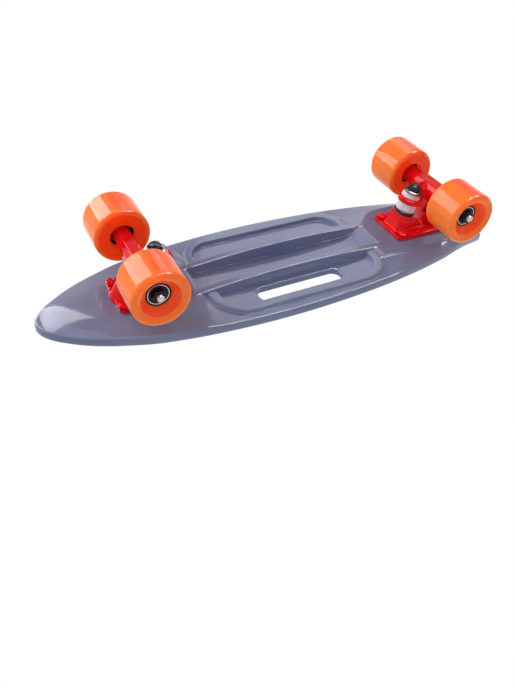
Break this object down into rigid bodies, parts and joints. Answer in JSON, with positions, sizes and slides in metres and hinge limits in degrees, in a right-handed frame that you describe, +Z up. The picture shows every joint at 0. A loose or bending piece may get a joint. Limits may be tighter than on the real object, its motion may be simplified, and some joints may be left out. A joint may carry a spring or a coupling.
{
  "type": "cruiser skateboard",
  "caption": "Short moulded plastic cruiser board with a ribbed underside, a handle slot along one edge, sprung steering trucks and wide soft wheels on ball bearings.",
  "frame": {"origin": "on the ground under the middle of the deck's length and width, at the level of the wheels' lowest line", "axes": "+X towards the nose, +Y to the rider's left facing the nose, +Z up"},
  "size_m": [0.546, 0.1614, 0.1094],
  "materials": {
    "deck_plastic": "smooth gloss",
    "wheel_orange": "cast urethane, smooth gloss",
    "truck_red": "glossy coating on cast metal",
    "bushing_white": "cast urethane, satin",
    "cup_plastic": "satin",
    "dark_steel": "black oxide, satin",
    "bright_steel": "turned, bright",
    "bearing_steel": "ground ring with a dark shield"
  },
  "bodies": {
    "board": {"deck": "deck_plastic", "front_baseplate": "truck_red", "front_pivot_cup": "cup_plastic", "front_kingpin": "dark_steel", "front_base_washer": "dark_steel", "front_lower_bushing": "bushing_white", "front_upper_bushing": "bushing_white", "front_top_washer": "dark_steel", "front_kingpin_nut": "dark_steel", "front_bolt_1": "dark_steel", "front_bolt_2": "dark_steel", "front_bolt_3": "dark_steel", "front_bolt_4": "dark_steel", "front_bolt_nut_1": "truck_red", "front_bolt_nut_2": "truck_red", "front_bolt_nut_3": "truck_red", "front_bolt_nut_4": "truck_red", "rear_baseplate": "truck_red", "rear_pivot_cup": "cup_plastic", "rear_kingpin": "dark_steel", "rear_base_washer": "dark_steel", "rear_lower_bushing": "bushing_white", "rear_upper_bushing": "bushing_white", "rear_top_washer": "dark_steel", "rear_kingpin_nut": "dark_steel", "rear_bolt_1": "dark_steel", "rear_bolt_2": "dark_steel", "rear_bolt_3": "dark_steel", "rear_bolt_4": "dark_steel", "rear_bolt_nut_1": "truck_red", "rear_bolt_nut_2": "truck_red", "rear_bolt_nut_3": "truck_red", "rear_bolt_nut_4": "truck_red"},
    "front_truck": {"front_hanger": "truck_red", "front_axle": "bright_steel", "front_left_bearing_sleeve": "bright_steel", "front_left_axle_nut": "dark_steel", "front_right_bearing_sleeve": "bright_steel", "front_right_axle_nut": "dark_steel"},
    "rear_truck": {"rear_hanger": "truck_red", "rear_axle": "bright_steel", "rear_left_bearing_sleeve": "bright_steel", "rear_left_axle_nut": "dark_steel", "rear_right_bearing_sleeve": "bright_steel", "rear_right_axle_nut": "dark_steel"},
    "front_left_roller": {"front_left_wheel": "wheel_orange", "front_left_inner_bearing": "bearing_steel", "front_left_outer_bearing": "bearing_steel"},
    "front_right_roller": {"front_right_wheel": "wheel_orange", "front_right_inner_bearing": "bearing_steel", "front_right_outer_bearing": "bearing_steel"},
    "rear_left_roller": {"rear_left_wheel": "wheel_orange", "rear_left_inner_bearing": "bearing_steel", "rear_left_outer_bearing": "bearing_steel"},
    "rear_right_roller": {"rear_right_wheel": "wheel_orange", "rear_right_inner_bearing": "bearing_steel", "rear_right_outer_bearing": "bearing_steel"}
  },
  "joints": [
    {"name": "front_steer", "type": "hinge", "parent": "board", "child": "front_truck", "pos_m": [0.181, 0, 0.065], "axis": [-0.8328, 0, -0.5536], "range_deg": [-12, 12], "stiffness_Nm_per_rad": 60, "deforming": ["front_lower_bushing", "front_upper_bushing"]},
    {"name": "rear_steer", "type": "hinge", "parent": "board", "child": "rear_truck", "pos_m": [-0.202, 0, 0.065], "axis": [0.8328, 0, -0.5536], "range_deg": [-12, 12], "stiffness_Nm_per_rad": 60, "deforming": ["rear_lower_bushing", "rear_upper_bushing"]},
    {"name": "front_left_spin", "type": "hinge", "parent": "front_truck", "child": "front_left_roller", "pos_m": [0.1685, 0.0555, 0.0295], "axis": [0, 1, 0], "continuous": true},
    {"name": "front_right_spin", "type": "hinge", "parent": "front_truck", "child": "front_right_roller", "pos_m": [0.1685, -0.0555, 0.0295], "axis": [0, 1, 0], "continuous": true},
    {"name": "rear_left_spin", "type": "hinge", "parent": "rear_truck", "child": "rear_left_roller", "pos_m": [-0.1895, 0.0555, 0.0295], "axis": [0, 1, 0], "continuous": true},
    {"name": "rear_right_spin", "type": "hinge", "parent": "rear_truck", "child": "rear_right_roller", "pos_m": [-0.1895, -0.0555, 0.0295], "axis": [0, 1, 0], "continuous": true}
  ]
}
